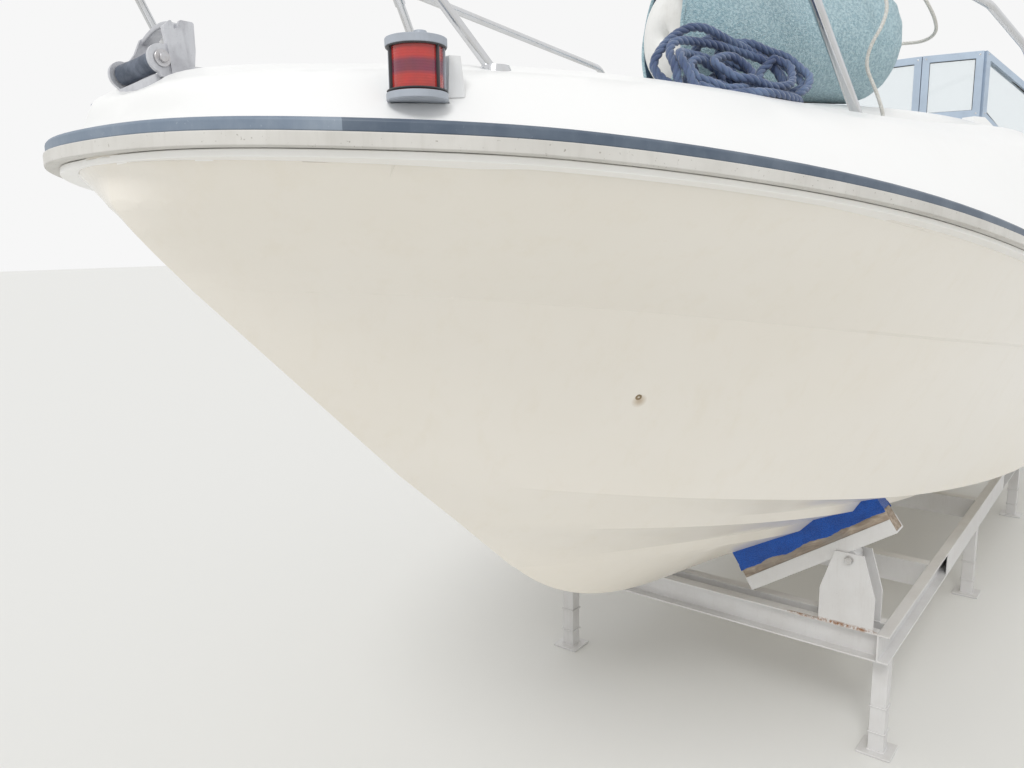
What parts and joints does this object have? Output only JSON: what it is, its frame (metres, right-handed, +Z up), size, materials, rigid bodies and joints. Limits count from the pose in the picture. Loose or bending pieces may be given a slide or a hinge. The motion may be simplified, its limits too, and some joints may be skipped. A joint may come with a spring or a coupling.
{
  "type": "speedboat",
  "caption": "Small open speedboat with a flared hard-chine hull, crowned foredeck, bow rail, windscreen and tilting outboard, standing on a welded steel yard cradle.",
  "frame": {"origin": "on the ground, below the middle of the whole object's box", "axes": "+X towards the bow, +Y to port, +Z up"},
  "size_m": [6.8604, 2.26, 2.4325],
  "materials": {
    "gelcoat": "glossy",
    "deck_gelcoat": "glossy",
    "rail_vinyl": "satin, speckled",
    "insert_rubber": "matte",
    "stainless": "polished",
    "cast_silver": "satin",
    "roller_rubber": "matte",
    "grey_plastic": "satin",
    "white_plastic": "glossy",
    "black_plastic": "satin",
    "red_lens": "clear",
    "green_lens": "clear",
    "frame_grey": "satin",
    "screen_glass": "clear",
    "seat_vinyl": "satin",
    "rope_navy": "matte",
    "fender_white": "satin",
    "terry_teal": "matte",
    "engine_paint": "glossy",
    "powerhead_iron": "matte",
    "cradle_paint": "satin, a little rust",
    "timber": "weathered",
    "carpet_blue": "matte"
  },
  "bodies": {
    "boat": {"hull": "gelcoat", "deck": "deck_gelcoat", "rub_rail": "rail_vinyl", "rub_rail_insert": "insert_rubber", "locker_rim": "deck_gelcoat", "bow_roller_bracket": "cast_silver", "nav_light_plinths": "white_plastic", "nav_light_housings": "grey_plastic", "nav_light_port_lens": "red_lens", "nav_light_starboard_lens": "green_lens", "bow_rail": "stainless", "rail_stanchions": "stainless", "windscreen_frame": "frame_grey", "windscreen_panes": "screen_glass", "helm_console": "deck_gelcoat", "helm_shaft": "black_plastic", "throttle": "black_plastic", "seat_pedestals": "stainless", "seats": "seat_vinyl", "mooring_cleats": "stainless", "rope_coil": "rope_navy", "fender": "fender_white", "fender_cover": "terry_teal", "clamp_bracket": "engine_paint", "cradle_side_channels": "cradle_paint", "cradle_end_beams": "cradle_paint", "cradle_middle_beams": "cradle_paint", "cradle_legs": "cradle_paint", "bunk_brackets": "cradle_paint", "bunk_channels": "cradle_paint", "bunk_timbers": "timber", "bunk_carpets": "carpet_blue"},
    "tilting_bracket": {"swivel_bracket": "engine_paint"},
    "engine": {"engine_leg": "engine_paint", "engine_cowl": "engine_paint", "powerhead": "powerhead_iron"},
    "screw": {"propeller": "engine_paint"},
    "wheel": {"helm_wheel": "black_plastic"},
    "lid": {"locker_lid": "deck_gelcoat"},
    "roller": {"bow_roller": "roller_rubber"}
  },
  "joints": [
    {"name": "engine_tilt", "type": "hinge", "parent": "boat", "child": "tilting_bracket", "pos_m": [-2.845, 0, 1.085], "axis": [0, 1, 0], "range_deg": [0, 65]},
    {"name": "engine_steer", "type": "hinge", "parent": "tilting_bracket", "child": "engine", "pos_m": [-2.925, 0, 0.9], "axis": [0, 0, 1], "range_deg": [-30, 30]},
    {"name": "propeller_spin", "type": "hinge", "parent": "engine", "child": "screw", "pos_m": [-3.3, 0, 0.302], "axis": [1, 0, 0], "continuous": true},
    {"name": "helm_turn", "type": "hinge", "parent": "boat", "child": "wheel", "pos_m": [-0.345, -0.4, 1.6], "axis": [0.9397, 0, -0.342], "range_deg": [-540, 540]},
    {"name": "locker_lid_hinge", "type": "hinge", "parent": "boat", "child": "lid", "pos_m": [2.539, 0, 1.969], "axis": [0, -1, 0], "range_deg": [0, 105]},
    {"name": "bow_roller_spin", "type": "hinge", "parent": "boat", "child": "roller", "pos_m": [3.195, 0, 1.959], "axis": [0, 0.9962, 0.0872], "continuous": true}
  ],
  "couplings": [
    {"joint": "helm_turn", "follows": "engine_steer", "ratio": 18}
  ]
}
